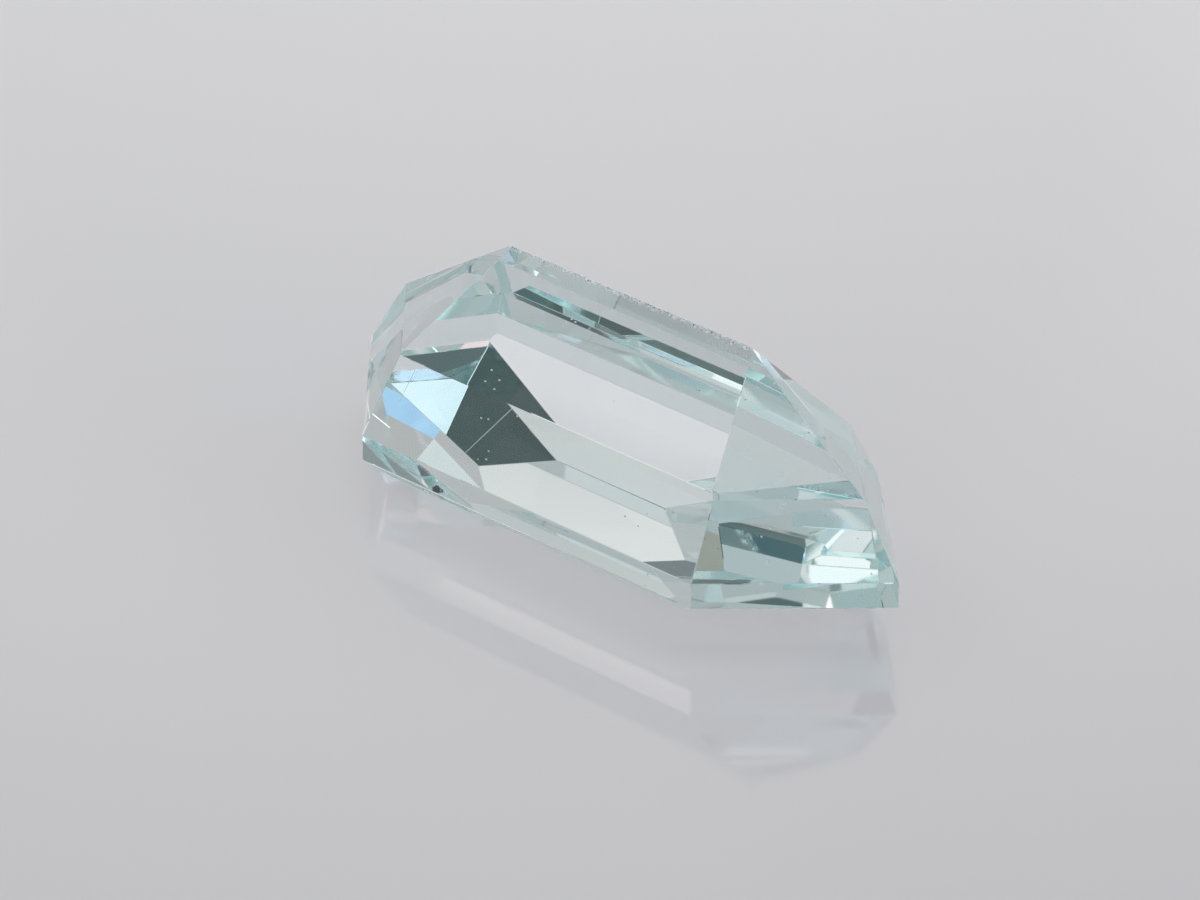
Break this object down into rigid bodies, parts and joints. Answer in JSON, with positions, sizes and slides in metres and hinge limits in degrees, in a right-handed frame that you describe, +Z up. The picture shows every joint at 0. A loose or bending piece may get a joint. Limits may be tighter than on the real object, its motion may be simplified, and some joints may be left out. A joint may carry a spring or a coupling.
{
  "type": "faceted beryl gemstone",
  "caption": "Loose cut stone of clear, very pale blue-green beryl: a long hexagon with pointed ends, cut in steps to a straight keel, lying on its flat table.",
  "frame": {"origin": "on the table's plane that the stone rests on, below the middle of its outline", "axes": "+X along the stone to its right point, -Y its front, +Z up from the table to the keel"},
  "size_m": [0.009, 0.0036, 0.0031],
  "materials": {
    "clear_beryl": "polished facets, with fine polishing lines, a worn keel and small edge chips"
  },
  "bodies": {
    "root": {"beryl_gem": "clear_beryl"}
  },
  "joints": []
}
